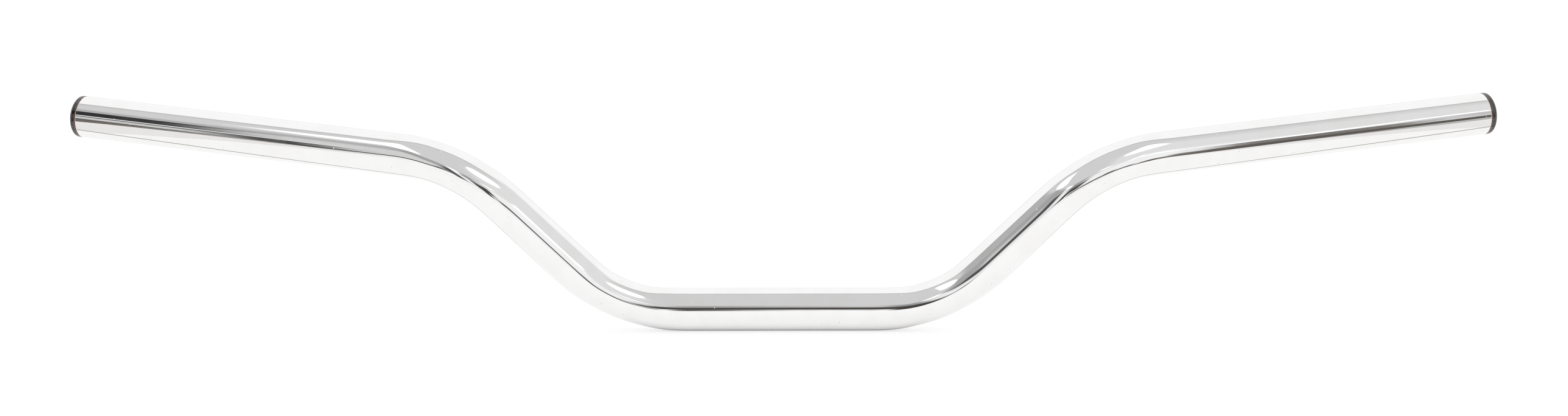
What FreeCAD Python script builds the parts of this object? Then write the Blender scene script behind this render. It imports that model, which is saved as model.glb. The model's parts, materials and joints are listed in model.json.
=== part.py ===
"""High-rise handlebar: one bent steel tube, closed at each end by a push-in plug with fins.

Frame: the origin is the middle of the clamp section, on the tube's centre line. X runs along the
clamp section, towards the rider's left hand. Z points up, in the plane of the two risers. Y points
back, towards the rider, so the grip sections sweep back along +Y.
"""

import FreeCAD
import Part
import math
import os
from FreeCAD import Vector

# Tube section, in millimetres
tube_diameter = 22.0
tube_wall = 2.0

# Centre line of one half, from the middle outwards, in millimetres and degrees
clamp_length = 108.0
bend_radius = 73.5
riser_angle = 43.5
riser_length = 52.5
sweep_angle = 21.5
upsweep_angle = 3.3
grip_length = 191.3

# A bend presses the tube flatter in its own plane and a little wider across it
bend_flattening = 1.6
bend_widening = 0.4
flattening_run = 18.0
run_sections = 5

# Deburred tube ends
end_chamfer = 0.6
mouth_chamfer = 0.6

# End plug: the flange that shows, and the hollow shank with its fins inside the tube
flange_step = 0.25
flange_height = 3.9
flange_bevel = 1.3
shank_length = 15.0
shank_wall = 1.6
nose_length = 2.2
fin_count = 3
fin_reach = 2.45
fin_thickness = 0.8
first_fin_depth = 3.2
fin_clearance = 0.05

PARTS_FOLDER = "parts"
ORIGIN = Vector(0, 0, 0)
X_AXIS = Vector(1, 0, 0)
Z_AXIS = Vector(0, 0, 1)
FULL_TURN = 360

tube_radius = tube_diameter / 2
bore_radius = tube_radius - tube_wall


def heading(back_degrees, up_degrees):
    """Unit vector that leaves the clamp axis by these angles, back and up."""
    back = math.radians(back_degrees)
    up = math.radians(up_degrees)
    return Vector(math.cos(back) * math.cos(up), math.sin(back) * math.cos(up), math.sin(up))


class Bend:
    """A turn of the centre line, at the bend radius, from one straight run to the next.

    The section goes from round to oval over the flattening run, stays oval through the middle of
    the turn, and goes back to round over the same run.
    """

    def __init__(self, start, heading_in, heading_out):
        self.start = start
        self.heading_in = heading_in
        self.angle = heading_in.getAngle(heading_out)
        self.axis = heading_in.cross(heading_out).normalize()
        self.inward = self.axis.cross(heading_in)
        self.middle = start + self.inward * bend_radius
        self.end = self.point(self.angle)
        # On a short bend the two runs leave the middle third of the turn oval
        self.run = min(flattening_run / bend_radius, self.angle / 3)

    def outward(self, turn):
        """Unit vector from the middle of the arc to the centre line, this far round in radians."""
        return self.heading_in * math.sin(turn) - self.inward * math.cos(turn)

    def point(self, turn):
        return self.middle + self.outward(turn) * bend_radius

    def section(self, turn, share, inset):
        """Outline across the tube with this share of the flattening, this far inside its surface."""
        half_width = tube_radius - inset + share * bend_widening / 2
        half_depth = tube_radius - inset - share * bend_flattening / 2
        outline = Part.Ellipse(self.point(turn), half_width, half_depth)
        outline.Axis = self.outward(turn).cross(self.axis)
        outline.XAxis = self.axis
        return Part.Wire([outline.toShape()])

    def flattening(self, turn_at_round, turn_at_oval, inset):
        """Solid rod between a round end and the oval, with a smooth start and finish."""
        sections = []
        for index in range(run_sections):
            part = index / (run_sections - 1)
            turn = turn_at_round + (turn_at_oval - turn_at_round) * part
            share = part * part * (3 - 2 * part)
            sections.append(self.section(turn, share, inset))
        return Part.makeLoft(sections, True)

    def solids(self, inset):
        """The bend as three solid rods, end to end."""
        oval_end = self.angle - self.run
        oval = Part.Face(self.section(self.run, 1, inset))
        oval_turn = math.degrees(oval_end - self.run)
        return [
            self.flattening(0, self.run, inset),
            oval.revolve(self.middle, self.axis, oval_turn),
            self.flattening(self.angle, oval_end, inset),
        ]


riser_heading = heading(0, riser_angle)
grip_heading = heading(sweep_angle, upsweep_angle)
lower_bend = Bend(X_AXIS * (clamp_length / 2), X_AXIS, riser_heading)
upper_bend = Bend(lower_bend.end + riser_heading * riser_length, riser_heading, grip_heading)
tube_end = upper_bend.end + grip_heading * grip_length


def mirrored(shape):
    """The same shape on the other side of the middle."""
    return shape.mirror(ORIGIN, X_AXIS)


def rod(inset, grip):
    """The whole bar as a solid rod, this far inside the tube's outer surface, with these grips."""
    radius = tube_radius - inset
    clamp = Part.makeCylinder(radius, clamp_length, X_AXIS * (-clamp_length / 2), X_AXIS)
    riser = Part.makeCylinder(radius, riser_length, lower_bend.end, riser_heading)
    half = lower_bend.solids(inset) + [riser] + upper_bend.solids(inset) + [grip]
    return clamp.fuse(half + [mirrored(piece) for piece in half]).removeSplitter()


def grip_rod():
    """The grip section's outside, chamfered at the cut end."""
    grip = Part.makeCylinder(tube_radius, grip_length, upper_bend.end, grip_heading)
    cut_edge = max(grip.Edges, key=lambda edge: edge.CenterOfMass.dot(grip_heading))
    return grip.makeChamfer(min(end_chamfer, tube_wall / 3), [cut_edge])


def grip_bore():
    """The grip section's inside, opened by a chamfer at the cut end."""
    bore = Part.makeCylinder(bore_radius, grip_length, upper_bend.end, grip_heading)
    chamfer = min(mouth_chamfer, tube_wall / 3)
    start = tube_end - grip_heading * chamfer
    # The cone runs as far again beyond the end face, so that it cuts the face cleanly
    depth = 2 * chamfer
    return bore.fuse(Part.makeCone(bore_radius, bore_radius + depth, depth, start, grip_heading))


def handlebar_tube():
    return rod(0, grip_rod()).cut(rod(tube_wall, grip_bore()))


def plug_section():
    """Half section of the plug in the XZ plane: the flange above height 0, the shank below it."""
    flange_radius = tube_radius - flange_step
    tip_radius = bore_radius - fin_clearance
    shank_radius = tip_radius - fin_reach
    hollow_radius = shank_radius - shank_wall
    hollow_top = flange_height - shank_wall
    last_fin_depth = shank_length - nose_length
    fin_pitch = (last_fin_depth - first_fin_depth) / (fin_count - 1)

    outline = [
        Vector(0, 0, flange_height),
        Vector(0, 0, hollow_top),
        Vector(hollow_radius, 0, hollow_top),
        Vector(hollow_radius, 0, -shank_length),
        Vector(shank_radius, 0, -shank_length),
    ]
    for index in range(fin_count):
        fin_depth = last_fin_depth - index * fin_pitch
        outline += [
            Vector(shank_radius, 0, -fin_depth),
            Vector(tip_radius, 0, -fin_depth),
            Vector(tip_radius, 0, -fin_depth + fin_thickness),
            Vector(shank_radius, 0, -fin_depth + fin_thickness),
        ]
    outline += [
        Vector(shank_radius, 0, 0),
        Vector(flange_radius, 0, 0),
        Vector(flange_radius, 0, flange_height - flange_bevel),
        Vector(flange_radius - flange_bevel, 0, flange_height),
        Vector(0, 0, flange_height),
    ]
    return Part.Face(Part.makePolygon(outline))


def end_plug():
    """The plug in the rider's left end, its flange seated on the tube's end face."""
    plug = plug_section().revolve(ORIGIN, Z_AXIS, FULL_TURN)
    plug.Placement = FreeCAD.Placement(tube_end, FreeCAD.Rotation(Z_AXIS, grip_heading))
    return plug


def main():
    os.makedirs(PARTS_FOLDER, exist_ok=True)
    plug = end_plug()
    nodes = {
        "handlebar_tube": handlebar_tube(),
        "left_end_plug": plug,
        "right_end_plug": mirrored(plug),
    }
    for name, shape in nodes.items():
        shape.exportStep(os.path.join(PARTS_FOLDER, name + ".step"))
        print(name, "solids", len(shape.Solids), "valid", shape.isValid(), "mm3", round(shape.Volume))


main()
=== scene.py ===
"""Looks of the high-rise handlebar: a chromed tube with black end plugs, lying on white studio paper.

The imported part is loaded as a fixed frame. A finer skin stands for its tube and finer mouldings stand
for its plugs, because bright metal shows every facet. Lengths are in metres, and angles are in degrees.
"""

import json
import math
from typing import NamedTuple

import bpy
import numpy as np
from mathutils import Matrix, Quaternion, Vector


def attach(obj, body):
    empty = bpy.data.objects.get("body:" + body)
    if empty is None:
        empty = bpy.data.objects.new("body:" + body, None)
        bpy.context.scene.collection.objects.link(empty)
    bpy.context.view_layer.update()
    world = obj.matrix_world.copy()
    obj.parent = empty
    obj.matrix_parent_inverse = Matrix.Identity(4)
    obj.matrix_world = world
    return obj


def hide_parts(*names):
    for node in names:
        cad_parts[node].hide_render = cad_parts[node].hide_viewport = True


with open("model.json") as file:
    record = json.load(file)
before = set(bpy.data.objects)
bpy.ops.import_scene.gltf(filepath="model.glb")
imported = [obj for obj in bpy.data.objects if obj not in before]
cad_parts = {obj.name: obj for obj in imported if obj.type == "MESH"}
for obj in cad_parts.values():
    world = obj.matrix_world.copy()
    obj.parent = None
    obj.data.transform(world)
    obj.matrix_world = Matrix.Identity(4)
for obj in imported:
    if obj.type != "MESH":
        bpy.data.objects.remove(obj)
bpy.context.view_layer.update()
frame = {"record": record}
mounts = {mount["name"]: mount for mount in frame["record"]["mounts"]}

ORIGIN = Vector((0, 0, 0))
X_AXIS = Vector((1, 0, 0))
Z_AXIS = Vector((0, 0, 1))
MIRROR = np.array((-1, 1, 1))
MILLIMETRE = 0.001

# Tube: its section and its grips come from the frame's mounts
tube_radius = mounts["stem_clamp"]["dims"]["r_mm"] * MILLIMETRE
clamp_length = mounts["stem_clamp"]["dims"]["length_mm"] * MILLIMETRE
grip_length = mounts["left_grip"]["dims"]["length_mm"] * MILLIMETRE
grip_middle = Vector(mounts["left_grip"]["pos_m"])
grip_heading = Vector(mounts["left_grip"]["axis"])
chamfer_start = grip_middle + grip_heading * (grip_length / 2)

# Sizes of the tube that the part's source has too
tube_wall = 0.0020
bend_radius = 0.0735
riser_angle = 43.5
bend_flattening = 0.0016
bend_widening = 0.0004
flattening_run = 0.018
end_chamfer = 0.0006
tube_end = chamfer_start + grip_heading * end_chamfer

# Finish of the skin: each bend starts and ends gradually, and the cut rims are rounded
bend_easing = 0.020
end_rounding = 0.00035

# End plug, with its flange flush with the tube
flange_height = 0.0039
flange_bevel = 0.0013
crown_rise = 0.00015
shank_length = 0.015
shank_wall = 0.0016
nose_length = 0.0022
fin_count = 3
fin_reach = 0.00245
fin_thickness = 0.0008
first_fin_depth = 0.0032
fin_clearance = 0.00005
rim_rounding = 0.0016
corner_rounding = 0.0002

# Dust on the plate, rust on the tube's cut ends, and the stain that the rust leaves on the plugs
dust_spacing = 0.011
dust_share = 0.55
dust_size = 0.00042
rust_begin = -0.00006
rust_full = 0.00004
rust_unevenness = 0.00025
stain_reach = 0.0003
stain_unevenness = 0.001

# Fineness of the meshes
ring_points = 128
bend_step = 0.0012
straight_step = 0.003
bore_step = 0.006
edge_support = 0.00006
arc_steps = 6
easing_steps = 20

# Camera, fitted to the photograph's outline
camera_target = Vector((0.0022, 0, 0.05277))
camera_distance = 2.2
camera_yaw = 0.91
camera_elevation = 9.0
camera_roll = -0.25
camera_lens_mm = 98.5
camera_sensor_mm = 36.0

# Table: the white sheet that the bar lies on, a warmer one under it, the dark table top under both,
# and a white sheet behind
sheet_edge = 0.072
white_corners = (
    (-0.43, sheet_edge), (-0.43, -0.01), (-0.49, -0.14), (-0.94, -0.75),
    (0.64, -0.75), (0.455, -0.27), (0.44, sheet_edge),
)
under_corners = (
    (-0.50, sheet_edge), (-1.15, -0.75), (0.65, -0.75),
    (0.465, -0.28), (0.60, -0.26), (0.53, sheet_edge),
)
table_corners = (
    (-0.56, sheet_edge), (-1.25, -0.79), (0.90, -0.79), (0.60, -0.26), (0.53, sheet_edge),
)
back_corners = ((-1.6, sheet_edge), (1.6, sheet_edge), (1.6, 3.0), (-1.6, 3.0))
sheet_drop = 0.0003
# Painted shade on the white sheet, as the chrome shows it: even out to the first reach from the middle,
# darker to both sides out to the second
paper_even_reach = 0.20
paper_shade_reach = 0.45
# Painted shadow line along the sheets' back edge, as the chrome shows it: its width, where it starts and
# where it is full
edge_line_width = 0.010
edge_line_end = edge_line_width * 0.6
edge_line_full = edge_line_width * 0.3

# The camera sees the glow of the sheets and, by the shadow's share, the light that falls on them
paper_glow = 1.12
shadow_share = 0.4

# Painted contact shade: the chrome shows the sheets darker close under the bar. How open a place is, from
# 0 to 1, is the root of the share of it that nothing within the reach covers. From contact_open up it
# glows as elsewhere, and a covered place glows by the contact shade level
contact_reach = 0.03
contact_open = 0.7
contact_shade_level = 0.1
contact_samples = 8


class Station(NamedTuple):
    """A cut across the tube: its middle, where its ring of points starts, and how its oval lies."""

    centre: np.ndarray
    up: np.ndarray
    side: np.ndarray
    outward: np.ndarray
    across: np.ndarray
    flattened: float


def station(centre, heading, up, outward=None, flattened=0.0):
    outward = outward or up
    vectors = (centre, up, heading.cross(up), outward, heading.cross(outward))
    return Station(*(np.array(vector) for vector in vectors), flattened)


def smooth_step(part):
    part = min(max(part, 0), 1)
    return part * part * (3 - 2 * part)


def spread(length, step):
    """Places along a run, evenly spaced, from its start to just short of its end."""
    count = math.ceil(length / step)
    return [length * index / count for index in range(count)]


class Bend:
    """A turn of the centre line at the bend radius, where the tube is pressed oval.

    The turn is eased: each of its points is the mean of a sharp turn over the length of the easing.
    So the curve grows and fades gradually, starting and ending half the easing out on the straights.
    """

    def __init__(self, heading_in, heading_out, start=None, end=None):
        self.heading_in = heading_in
        self.angle = heading_in.angle(heading_out)
        self.axis = heading_in.cross(heading_out).normalized()
        self.inward = self.axis.cross(heading_in)
        self.start = start or end - self.shift(self.angle)
        self.end = self.start + self.shift(self.angle)
        self.entry = self.start - heading_in * (bend_easing / 2)
        self.exit = self.end + heading_out * (bend_easing / 2)

    def shift(self, turn):
        """How far the centre line has come from the start of the bend after this turn, in radians."""
        along = self.heading_in * math.sin(turn)
        return (along + self.inward * (1 - math.cos(turn))) * bend_radius

    def carried(self, vector, turn):
        return Quaternion(self.axis, turn) @ vector

    def sharp_turn(self, place):
        """Turn before easing, in radians, at this distance along the line from the bend's start."""
        return min(max(place / bend_radius, 0), self.angle)

    def sharp_point(self, place):
        """Point of the line at this distance before easing, on a straight where it lies off the bend."""
        turn = self.sharp_turn(place)
        on_straight = place - turn * bend_radius
        return self.start + self.shift(turn) + self.carried(self.heading_in, turn) * on_straight

    def stations(self, up):
        run = flattening_run / bend_radius
        lags = [bend_easing * step / easing_steps for step in range(easing_steps + 1)]
        cuts = []
        for place in spread(bend_radius * self.angle + bend_easing, bend_step):
            centres = [self.sharp_point(place - lag) for lag in lags]
            turns = [self.sharp_turn(place - lag) for lag in lags]
            turn = sum(turns) / len(lags)
            cuts.append(station(
                sum(centres, Vector()) / len(lags),
                self.carried(self.heading_in, turn),
                self.carried(up, turn),
                self.carried(-self.inward, turn),
                smooth_step(min(turn, self.angle - turn) / run),
            ))
        return cuts


def straight(start, end, up):
    run = end - start
    heading = run.normalized()
    places = spread(run.length, straight_step)
    return [station(start + heading * place, heading, up) for place in places]


def ring(cut, inset):
    """Points round the tube at a station, this far inside its outer surface."""
    angles = np.arange(ring_points) * (2 * math.pi / ring_points)
    directions = np.outer(np.cos(angles), cut.up) + np.outer(np.sin(angles), cut.side)
    half_depth = tube_radius - inset - cut.flattened * bend_flattening / 2
    half_width = tube_radius - inset + cut.flattened * bend_widening / 2
    reach = 1 / np.hypot(directions @ cut.outward / half_depth, directions @ cut.across / half_width)
    return cut.centre + directions * reach[:, None]


def tube_rings():
    """Rings along the bore to the rider's left end, over the outside to the other end, and back inside.

    The first and the last ring meet in the middle of the bore.
    """
    riser_heading = Quaternion(Vector((0, -1, 0)), math.radians(riser_angle)) @ X_AXIS
    lower = Bend(X_AXIS, riser_heading, start=X_AXIS * (clamp_length / 2))
    upper = Bend(riser_heading, grip_heading, end=grip_middle - grip_heading * (grip_length / 2))

    # The rings start underneath, where the seam of the pattern doesn't show
    seam = -Z_AXIS
    riser_seam = lower.carried(seam, lower.angle)
    grip_seam = upper.carried(riser_seam, upper.angle)
    path = (
        straight(ORIGIN, lower.entry, seam)
        + lower.stations(seam)
        + straight(lower.exit, upper.entry, riser_seam)
        + upper.stations(riser_seam)
        + straight(upper.exit, tube_end - grip_heading * (end_rounding + edge_support), grip_seam)
    )

    def end_ring(depth, inset):
        return ring(station(tube_end - grip_heading * depth, grip_heading, grip_seam), inset)

    stride = round(bore_step / straight_step)
    half = [ring(cut, tube_wall) for cut in path[::stride]]
    half.append(end_ring(end_rounding + edge_support, tube_wall))
    for step in range(arc_steps + 1):
        turn = math.pi / 2 * step / arc_steps
        inset = tube_wall - end_rounding * (1 - math.cos(turn))
        half.append(end_ring(end_rounding * (1 - math.sin(turn)), inset))
    half.append(end_ring(0, tube_wall - end_rounding - edge_support))
    half.append(end_ring(0, end_rounding + edge_support))
    for step in range(arc_steps + 1):
        turn = math.pi / 2 * step / arc_steps
        half.append(end_ring(end_rounding * (1 - math.cos(turn)), end_rounding * (1 - math.sin(turn))))
    half.append(end_ring(end_rounding + edge_support, 0))
    half += [ring(cut, 0) for cut in reversed(path)]
    return half + [points * MIRROR for points in reversed(half[1:-1])]


def mesh_object(name, points, faces):
    mesh = bpy.data.meshes.new(name)
    mesh.from_pydata([tuple(point) for point in points], [], faces)
    mesh.shade_smooth()
    made = bpy.data.objects.new(name, mesh)
    bpy.context.scene.collection.objects.link(made)
    return made


def make_tube():
    """The whole tube as one closed skin, with a map of the distance along it and round it."""
    rings = tube_rings()
    ring_count = len(rings)
    gaps = [rings[index] - rings[index - 1] for index in range(ring_count)]
    steps = [np.linalg.norm(gap, axis=1).mean() for gap in gaps]
    along = np.append(np.cumsum(steps) - steps[0], np.sum(steps))
    around = np.arange(ring_points + 1) * (2 * math.pi * tube_radius / ring_points)
    faces = []
    map_places = []
    for row in range(ring_count):
        next_row = (row + 1) % ring_count
        for column in range(ring_points):
            next_column = (column + 1) % ring_points
            faces.append((
                row * ring_points + column,
                next_row * ring_points + column,
                next_row * ring_points + next_column,
                row * ring_points + next_column,
            ))
            map_places += [
                (along[row], around[column]),
                (along[row + 1], around[column]),
                (along[row + 1], around[column + 1]),
                (along[row], around[column + 1]),
            ]
    tube = mesh_object("chromed_tube", np.concatenate(rings), faces)
    skin_map = tube.data.uv_layers.new(name="skin")
    skin_map.uv.foreach_set("vector", np.array(map_places, np.float32).ravel())
    return tube


def rounded(corners):
    """Outline through these corners (radius, height, rounding), each rounded by an arc."""
    outline = []
    for index, (radius, height, rounding) in enumerate(corners):
        here = Vector((radius, height))
        if not rounding:
            outline.append(here)
            continue
        before = (Vector(corners[index - 1][:2]) - here).normalized()
        after = (Vector(corners[index + 1][:2]) - here).normalized()
        half_angle = before.angle(after) / 2
        middle = here + (before + after).normalized() * (rounding / math.sin(half_angle))
        reach = rounding / math.tan(half_angle)
        first = (here + before * reach - middle).normalized()
        last = (here + after * reach - middle).normalized()
        for step in range(arc_steps + 1):
            outline.append(middle + first.slerp(last, step / arc_steps) * rounding)
    return outline


def plug_outline():
    """Half section of the plug, from the middle of its face over the flange and fins to the axis."""
    flange_radius = tube_radius
    tip_radius = tube_radius - tube_wall - fin_clearance
    shank_radius = tip_radius - fin_reach
    hollow_radius = shank_radius - shank_wall
    hollow_top = flange_height - shank_wall
    last_fin_depth = shank_length - nose_length
    fin_pitch = (last_fin_depth - first_fin_depth) / (fin_count - 1)

    corners = [
        (0, flange_height, 0),
        (flange_radius - flange_bevel, flange_height - crown_rise, rim_rounding),
        (flange_radius, flange_height - flange_bevel, rim_rounding),
        (flange_radius, 0, corner_rounding),
        (shank_radius, 0, 0),
    ]
    for index in range(fin_count):
        top = fin_thickness - first_fin_depth - index * fin_pitch
        corners += [
            (shank_radius, top, 0),
            (tip_radius, top, corner_rounding),
            (tip_radius, top - fin_thickness, corner_rounding),
            (shank_radius, top - fin_thickness, 0),
        ]
    corners += [
        (shank_radius, -shank_length, corner_rounding),
        (hollow_radius, -shank_length, corner_rounding),
        (hollow_radius, hollow_top, corner_rounding),
        (0, hollow_top, 0),
    ]
    return rounded(corners)


def make_plug(name, seat, heading):
    """A moulded plug turned about its axis, its flange seated on the tube's end face."""
    up = (Z_AXIS - heading * heading.z).normalized()
    outline = plug_outline()
    inner = outline[1:-1]
    angles = np.arange(ring_points) * (2 * math.pi / ring_points)
    side = heading.cross(up)
    directions = np.outer(np.cos(angles), up) + np.outer(np.sin(angles), side)
    points = [seat + heading * outline[0].y]
    for place in inner:
        points += list(np.array(seat + heading * place.y) + directions * place.x)
    points.append(seat + heading * outline[-1].y)

    last_ring = 1 + (len(inner) - 1) * ring_points
    faces = []
    for column in range(ring_points):
        next_column = (column + 1) % ring_points
        faces.append((0, 1 + column, 1 + next_column))
        for row in range(len(inner) - 1):
            start = 1 + row * ring_points
            faces.append((
                start + column,
                start + ring_points + column,
                start + ring_points + next_column,
                start + next_column,
            ))
        faces.append((last_ring + next_column, last_ring + column, len(points) - 1))
    plug = mesh_object(name, points, faces)
    plug.modifiers.new("flat_faces_stay_flat", "WEIGHTED_NORMAL")
    return plug


class Nodes:
    """Adds nodes to a tree. An input is either a value or the output of another node, which is linked."""

    def __init__(self, tree):
        self.tree = tree
        tree.nodes.clear()

    def add(self, kind, inputs=None, **settings):
        node = self.tree.nodes.new(kind)
        for name, value in settings.items():
            setattr(node, name, value)
        for key, value in (inputs or {}).items():
            if isinstance(value, bpy.types.NodeSocket):
                self.tree.links.new(value, node.inputs[key])
            else:
                node.inputs[key].default_value = value
        return node

    def maths(self, operation, *values):
        return self.add("ShaderNodeMath", dict(enumerate(values)), operation=operation).outputs[0]

    def vector_maths(self, operation, output, *values):
        node = self.add("ShaderNodeVectorMath", dict(enumerate(values)), operation=operation)
        return node.outputs[output]

    def noise(self, place, pattern):
        inputs = {"Vector": place, "Scale": pattern.scale, "Detail": pattern.detail}
        return self.add("ShaderNodeTexNoise", inputs).outputs[0]

    def bump(self, height, strength, distance):
        inputs = {"Height": height, "Strength": strength, "Distance": distance}
        return self.add("ShaderNodeBump", inputs).outputs["Normal"]

    def ramp(self, value, low, high, to_low=0.0, to_high=1.0):
        """Smooth change from to_low to to_high as the value goes from low to high."""
        inputs = {"Value": value, "From Min": low, "From Max": high, "To Min": to_low, "To Max": to_high}
        return self.add("ShaderNodeMapRange", inputs, interpolation_type="SMOOTHSTEP").outputs["Result"]

    def mix_values(self, share, first, second):
        FACTOR, FIRST_VALUE, SECOND_VALUE = 0, 2, 3
        inputs = {FACTOR: share, FIRST_VALUE: first, SECOND_VALUE: second}
        return self.add("ShaderNodeMix", inputs, data_type="FLOAT").outputs[0]

    def mix(self, share, first, second):
        FACTOR, FIRST_COLOUR, SECOND_COLOUR, RESULT = 0, 6, 7, 2
        inputs = {FACTOR: share, FIRST_COLOUR: first, SECOND_COLOUR: second}
        return self.add("ShaderNodeMix", inputs, data_type="RGBA").outputs[RESULT]


class Pattern(NamedTuple):
    """A noise: its cells to a metre, and how many finer noises are laid over it."""

    scale: float
    detail: float


def grey(level, warmth=0.0):
    """Linear colour of this level, with a little more red and less blue where warmth is above 0."""
    return (level * (1 + warmth), level, level * (1 - warmth), 1)


def new_material(name):
    material = bpy.data.materials.new(name)
    material.use_nodes = True
    return material, Nodes(material.node_tree)


def beyond(nodes, place, start):
    """How far a place lies beyond this point of a grip, along the grip, at either end of the bar."""
    outward = nodes.vector_maths("ABSOLUTE", "Vector", place)
    along = nodes.vector_maths("DOT_PRODUCT", "Value", outward, grip_heading)
    return nodes.maths("SUBTRACT", along, start.dot(grip_heading))


def dust_specks(nodes, skin):
    """Specks of uneven size, one at most in each of the cells that the skin is divided into."""
    inputs = {"Vector": skin, "Scale": 1 / dust_spacing}
    cells = nodes.add("ShaderNodeTexVoronoi", inputs, voronoi_dimensions="2D")
    chance = nodes.add("ShaderNodeSeparateXYZ", {"Vector": cells.outputs["Color"]}).outputs["X"]
    full_size = dust_size / dust_spacing
    size = nodes.ramp(chance, 1 - dust_share, 1.0, 0.0, full_size)
    inside = nodes.maths("SUBTRACT", size, cells.outputs["Distance"])
    return nodes.ramp(inside, 0.0, full_size / 2)


# Chrome plate. The cells of its polishing lines are stretched: so many to a metre along the tube and
# round it. A range is the part of a noise over which a look goes from its first value to its second
polish_line_cells = (60, 2600, 1)
polish_lines = Pattern(1, 3)
polish_line_share = 0.35
polish_line_height = 0.06
plate_waves = Pattern(45, 1)
plate_wave_height = 0.00001
plate_wave_strength = 1.0
plate_cloud = Pattern(90, 4)
plate_cloud_range = (0.4, 0.65)
plate_colours = (grey(0.935), grey(0.915, 0.004))
polish_range = (0.35, 0.7)
polish_roughness = (0.025, 0.06)
rust_grit = Pattern(1200, 2)
rust_grit_range = (0.35, 0.65)
rust_colours = ((0.08, 0.028, 0.012, 1), (0.22, 0.085, 0.032, 1))
dust_colour = grey(0.8)
cover_roughness = 0.8


def chrome_material():
    """Bright plate with polishing lines, slight waves and specks of dust, rusted at its cut ends."""
    material, nodes = new_material("chrome")
    skin = nodes.add("ShaderNodeUVMap", uv_map="skin").outputs["UV"]
    place = nodes.add("ShaderNodeTexCoord").outputs["Object"]

    stretched = nodes.add("ShaderNodeMapping", {"Vector": skin, "Scale": polish_line_cells})
    lines = nodes.noise(stretched.outputs["Vector"], polish_lines)
    cloud = nodes.noise(place, plate_cloud)
    waves = nodes.noise(place, plate_waves)
    grit = nodes.noise(place, rust_grit)

    cloud_part = nodes.maths("MULTIPLY", cloud, 1 - polish_line_share)
    polish = nodes.maths("MULTIPLY_ADD", lines, polish_line_share, cloud_part)
    plate_roughness = nodes.ramp(polish, *polish_range, *polish_roughness)
    plate = nodes.mix(nodes.ramp(cloud, *plate_cloud_range), *plate_colours)

    dust = dust_specks(nodes, skin)
    dusty = nodes.mix(dust, plate, dust_colour)
    rust_edge = nodes.maths("MULTIPLY_ADD", grit, rust_unevenness, beyond(nodes, place, tube_end))
    rust = nodes.ramp(rust_edge, rust_begin, rust_full)
    rust_colour = nodes.mix(nodes.ramp(grit, *rust_grit_range), *rust_colours)
    colour = nodes.mix(rust, dusty, rust_colour)
    covered = nodes.maths("MAXIMUM", dust, rust)
    roughness = nodes.mix_values(covered, plate_roughness, cover_roughness)
    metallic = nodes.maths("SUBTRACT", 1.0, covered)

    height = nodes.maths("MULTIPLY_ADD", lines, polish_line_height, waves)
    bump = nodes.bump(height, plate_wave_strength, plate_wave_height)
    inputs = {"Base Color": colour, "Metallic": metallic, "Roughness": roughness, "Normal": bump}
    shader = nodes.add("ShaderNodeBsdfPrincipled", inputs).outputs[0]
    nodes.add("ShaderNodeOutputMaterial", {"Surface": shader})
    return material


# Black plastic, with ranges as for the plate
plastic_grain = Pattern(2600, 2)
plastic_grain_height = 0.00005
plastic_grain_strength = 0.2
plastic_cloud = Pattern(420, 4)
plastic_cloud_range = (0.35, 0.7)
plastic_colours = (grey(0.006), grey(0.018))
plastic_sheen_range = (0.3, 0.7)
plastic_roughness = (0.07, 0.17)
plastic_ior = 1.9
stain_colour = (0.10, 0.035, 0.016, 1)


def plastic_material():
    """Moulded black plastic with a fine grain and a sheen, stained brown along the seam with the tube."""
    material, nodes = new_material("black_plastic")
    place = nodes.add("ShaderNodeTexCoord").outputs["Object"]
    grain = nodes.noise(place, plastic_grain)
    cloud = nodes.noise(place, plastic_cloud)
    clean = nodes.mix(nodes.ramp(cloud, *plastic_cloud_range), *plastic_colours)
    from_seam = nodes.maths("MULTIPLY_ADD", cloud, -stain_unevenness, beyond(nodes, place, tube_end))
    stain = nodes.ramp(from_seam, stain_reach, 0.0)
    colour = nodes.mix(stain, clean, stain_colour)
    roughness = nodes.ramp(cloud, *plastic_sheen_range, *plastic_roughness)
    bump = nodes.bump(grain, plastic_grain_strength, plastic_grain_height)
    inputs = {"Base Color": colour, "Roughness": roughness, "IOR": plastic_ior, "Normal": bump}
    shader = nodes.add("ShaderNodeBsdfPrincipled", inputs).outputs[0]
    nodes.add("ShaderNodeOutputMaterial", {"Surface": shader})
    return material


# Sheets and table: white for the camera, plain paper for light that bounces off, the rest in the chrome
background_white = grey(1.0)
plain_paper = grey(0.80)
# The white sheet's middle, and its sides with painted shade
white_paper_middle = grey(0.945, 0.003)
white_paper_shaded_side = grey(0.925, 0.004)
under_paper = grey(0.79, 0.015)
# Colour of the painted shadow line along the sheets' back edge
edge_shadow_colour = grey(0.41, 0.06)
table_grain = Pattern(12, 2)
table_grain_range = (0.3, 0.7)
table_colours = (grey(0.095, 0.1), grey(0.165, 0.1))


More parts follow.
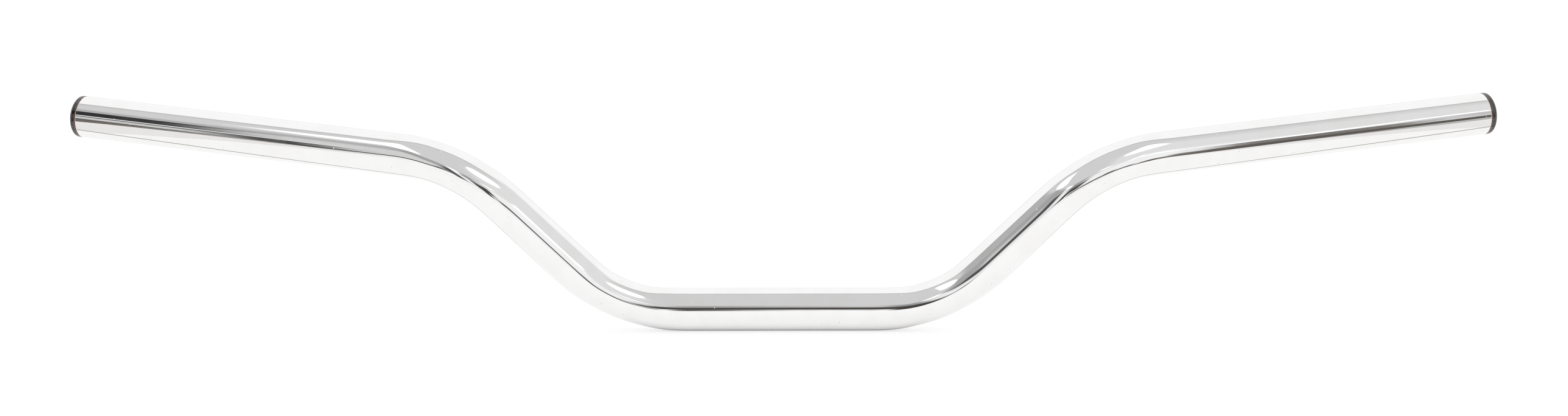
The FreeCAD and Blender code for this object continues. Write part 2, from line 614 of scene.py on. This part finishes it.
def sheet_material(name, colour_in_chrome):
    """Background white for the camera, with the bar's shadow on it, and this colour in the chrome.

    All other light falls on plain paper. In the chrome the sheet shows a painted contact shade close
    under the bar.
    """
    material, nodes = new_material(name)
    place = nodes.add("ShaderNodeTexCoord").outputs["Object"]
    rays = nodes.add("ShaderNodeLightPath").outputs
    colour = nodes.mix(rays["Is Glossy Ray"], background_white, colour_in_chrome(nodes, place))
    inputs = {"Distance": contact_reach}
    clear = nodes.add("ShaderNodeAmbientOcclusion", inputs, samples=contact_samples).outputs["AO"]
    # Painted contact shade, seen only in the chrome: the sheet's glow drops where the bar covers it
    painted_contact_shade = nodes.ramp(nodes.maths("SQRT", clear), 0.0, contact_open, contact_shade_level, paper_glow)
    glow = nodes.mix_values(rays["Is Glossy Ray"], paper_glow, painted_contact_shade)
    glowing = nodes.add("ShaderNodeEmission", {"Color": colour, "Strength": glow}).outputs[0]
    lit = nodes.add("ShaderNodeBsdfDiffuse", {"Color": colour}).outputs[0]
    shown = nodes.add("ShaderNodeMixShader", {0: shadow_share, 1: glowing, 2: lit}).outputs[0]
    plain = nodes.add("ShaderNodeBsdfDiffuse", {"Color": plain_paper}).outputs[0]
    seen = nodes.maths("MAXIMUM", rays["Is Camera Ray"], rays["Is Glossy Ray"])
    seen = nodes.maths("MAXIMUM", seen, rays["Is Transmission Ray"])
    surface = nodes.add("ShaderNodeMixShader", {0: seen, 1: plain, 2: shown}).outputs[0]
    nodes.add("ShaderNodeOutputMaterial", {"Surface": surface})
    return material


def with_edge_shadow_line(nodes, place, paper):
    """This paper, with a painted shadow line along the sheet's back edge."""
    y = nodes.add("ShaderNodeSeparateXYZ", {"Vector": place}).outputs["Y"]
    line_middle = sheet_edge - edge_line_width / 2
    from_line = nodes.maths("ABSOLUTE", nodes.maths("SUBTRACT", y, line_middle))
    line = nodes.ramp(from_line, edge_line_end, edge_line_full)
    return nodes.mix(line, paper, edge_shadow_colour)


def white_sheet_colour(nodes, place):
    """White paper with painted shade: a little dimmer towards both sides, as the light falls off."""
    x = nodes.add("ShaderNodeSeparateXYZ", {"Vector": place}).outputs["X"]
    # Painted shade: darker towards both sides
    outward = nodes.ramp(nodes.maths("ABSOLUTE", x), paper_even_reach, paper_shade_reach)
    return with_edge_shadow_line(nodes, place, nodes.mix(outward, white_paper_middle, white_paper_shaded_side))


def under_sheet_colour(nodes, place):
    return with_edge_shadow_line(nodes, place, under_paper)


def table_top_colour(nodes, place):
    """Dark table top with a faint grain."""
    grain = nodes.noise(place, table_grain)
    return nodes.mix(nodes.ramp(grain, *table_grain_range), *table_colours)


def make_table():
    """Flat sheets in layers, the top one touching the underside of the bar."""
    white = sheet_material("white_sheet", white_sheet_colour)
    under = sheet_material("under_sheet", under_sheet_colour)
    dark = sheet_material("table_top", table_top_colour)
    flats = (
        ("back_sheet", back_corners, 0, white),
        ("white_sheet", white_corners, 0, white),
        ("under_sheet", under_corners, 1, under),
        ("table_top", table_corners, 2, dark),
    )
    for name, corners, layer, material in flats:
        height = -tube_radius - layer * sheet_drop
        flat = mesh_object(name, [(x, y, height) for x, y in corners], [tuple(range(len(corners)))])
        flat.data.materials.append(material)


class Panel(NamedTuple):
    """A soft-edged rectangle or oval of the studio, by the direction in which the bar sees it.

    Azimuth 0 is towards the camera, and positive to the photograph's right.
    """

    name: str
    azimuth: float
    elevation: float
    half_width: float
    half_height: float
    tilt: float
    softness: float
    colour: tuple
    oval: bool = False


# Later panels cover earlier ones
studio_panels = [
    Panel("pale wall, right", 62, 38, 50, 20, 0, 18, grey(0.78)),
    Panel("white wall, low right", 27, 5, 22, 18, 0, 7, grey(0.94)),
    Panel("grey wall, left", -33, 29, 17, 7, -28, 5, grey(0.385)),
    Panel("grey wall, far left", -68, 39.5, 22, 4.5, -8, 5, grey(0.46)),
    Panel("pale wall, low left", -40, 16, 13, 9.4, -28, 3, grey(0.68)),

    Panel("soft box, right", 39.5, 56.3, 18.5, 9.3, 4, 4, grey(1.8), oval=True),
    Panel("soft box, left", -53.2, 51.7, 21.5, 5.8, -25, 2, grey(1.8), oval=True),
    Panel("lamp, right", 11, 28.5, 5, 1.6, -10, 2, grey(1.4), oval=True),
    Panel("lit strip, middle", 28, 23.5, 9, 0.8, 32, 1.5, grey(1.0)),
    Panel("lamp, far right", 31, 24.3, 3.8, 1.1, 35, 1.2, grey(1.6), oval=True),
    Panel("lit strip, right", 40, 18.5, 7, 1, -25, 1.5, grey(1.5)),
    Panel("gap of light", -11.5, 16, 3.5, 13, 13, 3, grey(0.9)),

    Panel("white card, left", -33, -2.5, 16, 6.5, 16, 1.5, grey(1.0)),
    Panel("white card, near the camera", -13, -3, 8, 6, -25, 1.5, grey(1.0)),
    Panel("dark corner, left", -25, 11, 4, 3.5, 20, 3, grey(0.27)),
    Panel("dark horizon, left", -38, 5.2, 12, 2, 18, 2, grey(0.10, 0.06)),
    Panel("lamp stand", -18.8, 14.5, 3.6, 9, 16, 4, grey(0.08)),

    Panel("camera", -1.5, 13.5, 5.3, 6, 0, 3, grey(0.07, 0.08)),
    Panel("behind the camera", -6, 23.5, 5, 4.5, 0, 6, grey(0.32)),
    Panel("lamp, left", -14, 27.5, 4.5, 1.6, -35, 2, grey(1.5), oval=True),
    Panel("white card, under the camera", 0, -0.5, 3, 6, -15, 1.2, grey(1.0)),
    Panel("camera's stand", -3.8, 7.5, 2.2, 7, 5, 2, grey(0.06, 0.08)),

    Panel("dark horizon, middle", 5, 3.5, 4.5, 2.2, 15, 2, grey(0.12)),
    Panel("dark horizon, right", 22, 0.4, 14, 2.3, -16, 2, grey(0.13)),
    Panel("dark box, right", 22.5, 2.5, 3, 1.8, -8, 2, grey(0.09)),
    Panel("dark pole, right", 48.3, 2, 1.4, 11, 0, 0.8, grey(0.19, 0.05)),
    Panel("grey floor by the pole", 52, -12, 5.5, 8, 0, 5, grey(0.5)),
    Panel("foot of the pole", 49.5, -5, 3.2, 5.5, 0, 3, grey(0.10, 0.12)),
    Panel("bright slit, right", 50, 19.5, 0.8, 5.5, -26, 1.2, grey(1.2)),
    Panel("grey screen, right", 55, 11, 5, 7, 0, 2, grey(0.55)),

    Panel("black screen, left", -62.6, 23.3, 10.5, 9, 12, 2, grey(0.035)),
    Panel("pale slit, left", -58, 8, 7.8, 7.5, 0, 1, grey(0.62)),
    Panel("bright slit, left", -55, 14.2, 6, 0.8, 5, 1, grey(0.95)),
    Panel("dark bar, left", -53, 10.9, 2.6, 1.9, 0, 1.2, grey(0.14)),
    Panel("dark edge, left", -49.7, 5.5, 0.8, 8.5, 0, 1.2, grey(0.06)),
    Panel("low screen, left", -58, -5.5, 6, 7.5, -22, 1.5, grey(0.13, 0.1)),

    Panel("dark horizon, behind right", 112, 3, 26, 3, 0, 3, grey(0.2)),
    Panel("dark horizon, behind left", -112, 3, 26, 3, 0, 3, grey(0.2)),
    Panel("grey horizon, behind right", 159, 3, 24, 3, 0, 3, grey(0.5)),
    Panel("grey horizon, behind left", -159, 3, 24, 3, 0, 3, grey(0.5)),
]

# Tent and room: the edge of the tent leans with the height of a direction and flares to both sides
tent_colour = grey(1.0)
ceiling_colour = grey(0.66)
room_floor_colour = grey(0.95)
tent_edge_lean = 0.25
tent_edge_flare = 0.24
tent_edge_softness = 0.02
tent_hem_colour = grey(0.55)
tent_hem_middle = -0.06
tent_hem_reach = 0.06
horizon_softness = 0.01


def panel_mask(nodes, panel, place):
    """Share of the panel at a place: 1 well inside it, 0 well outside."""
    margin = panel.softness / 2
    inputs = {
        "Vector": place,
        "Location": (panel.azimuth, panel.elevation, 0),
        "Rotation": (0, 0, math.radians(panel.tilt)),
    }
    if panel.oval:
        inputs["Scale"] = (panel.half_width, panel.half_height, 1)
    turned = nodes.add("ShaderNodeMapping", inputs, vector_type="TEXTURE").outputs["Vector"]
    if panel.oval:
        from_middle = nodes.vector_maths("LENGTH", "Value", turned)
        margin /= panel.half_height
        return nodes.ramp(from_middle, 1 + margin, 1 - margin)
    offsets = nodes.add("ShaderNodeSeparateXYZ", {"Vector": turned}).outputs
    sides = [
        nodes.ramp(nodes.maths("ABSOLUTE", offset), half + margin, half - margin)
        for offset, half in zip(offsets, (panel.half_width, panel.half_height))
    ]
    return nodes.maths("MULTIPLY", *sides)


def make_surroundings():
    """The studio that the chrome shows: a white tent behind the bar and a grey room in front of it.

    The camera and all other light get plain white.
    """
    world = bpy.data.worlds.new("studio")
    world.use_nodes = True
    bpy.context.scene.world = world
    nodes = Nodes(world.node_tree)
    direction = nodes.add("ShaderNodeTexCoord").outputs["Generated"]
    x, y, z = nodes.add("ShaderNodeSeparateXYZ", {"Vector": direction}).outputs
    towards_camera = nodes.maths("MULTIPLY", y, -1)
    azimuth = nodes.maths("DEGREES", nodes.maths("ARCTAN2", x, towards_camera))
    elevation = nodes.maths("DEGREES", nodes.maths("ARCSINE", z))
    place = nodes.add("ShaderNodeCombineXYZ", {"X": azimuth, "Y": elevation}).outputs["Vector"]

    overhead = nodes.maths("MULTIPLY_ADD", z, -tent_edge_lean, y)
    behind = nodes.maths("MULTIPLY_ADD", nodes.maths("ABSOLUTE", x), tent_edge_flare, overhead)
    in_tent = nodes.ramp(behind, -tent_edge_softness, tent_edge_softness)
    colour = nodes.mix(in_tent, ceiling_colour, tent_colour)
    from_hem = nodes.maths("ABSOLUTE", nodes.maths("SUBTRACT", behind, tent_hem_middle))
    colour = nodes.mix(nodes.ramp(from_hem, tent_hem_reach, 0.0), colour, tent_hem_colour)
    below = nodes.ramp(z, horizon_softness, -horizon_softness)
    colour = nodes.mix(below, colour, room_floor_colour)
    for panel in studio_panels:
        colour = nodes.mix(panel_mask(nodes, panel, place), colour, panel.colour)

    studio = nodes.add("ShaderNodeBackground", {"Color": colour}).outputs[0]
    plain = nodes.add("ShaderNodeBackground", {"Color": background_white}).outputs[0]
    glossy = nodes.add("ShaderNodeLightPath").outputs["Is Glossy Ray"]
    light = nodes.add("ShaderNodeMixShader", {0: glossy, 1: plain, 2: studio}).outputs[0]
    nodes.add("ShaderNodeOutputWorld", {"Surface": light})


def make_camera():
    yaw = math.radians(camera_yaw)
    elevation = math.radians(camera_elevation)
    level = math.cos(elevation)
    back = Vector((math.sin(yaw) * level, -math.cos(yaw) * level, math.sin(elevation)))
    right = Z_AXIS.cross(back).normalized()
    upright = Matrix((right, back.cross(right), back)).transposed()
    rolled = upright @ Matrix.Rotation(math.radians(camera_roll), 3, "Z")

    data = bpy.data.cameras.new("camera")
    data.sensor_width = camera_sensor_mm
    data.lens = camera_lens_mm
    camera = bpy.data.objects.new("camera", data)
    camera.matrix_world = Matrix.Translation(camera_target + back * camera_distance) @ rolled.to_4x4()
    bpy.context.scene.collection.objects.link(camera)
    bpy.context.scene.camera = camera


def dress(piece, node, material):
    piece.data.materials.append(material)
    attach(piece, "root")
    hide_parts(node)


def make_bar():
    dress(make_tube(), "handlebar_tube", chrome_material())
    plastic = plastic_material()
    other_side = Vector(MIRROR)
    plugs = (
        ("left_plug_moulding", "left_end_plug", tube_end, grip_heading),
        ("right_plug_moulding", "right_end_plug", tube_end * other_side, grip_heading * other_side),
    )
    for name, node, seat, heading in plugs:
        dress(make_plug(name, seat, heading), node, plastic)


bpy.context.scene.view_settings.view_transform = "Standard"
make_bar()
make_table()
make_surroundings()
make_camera()
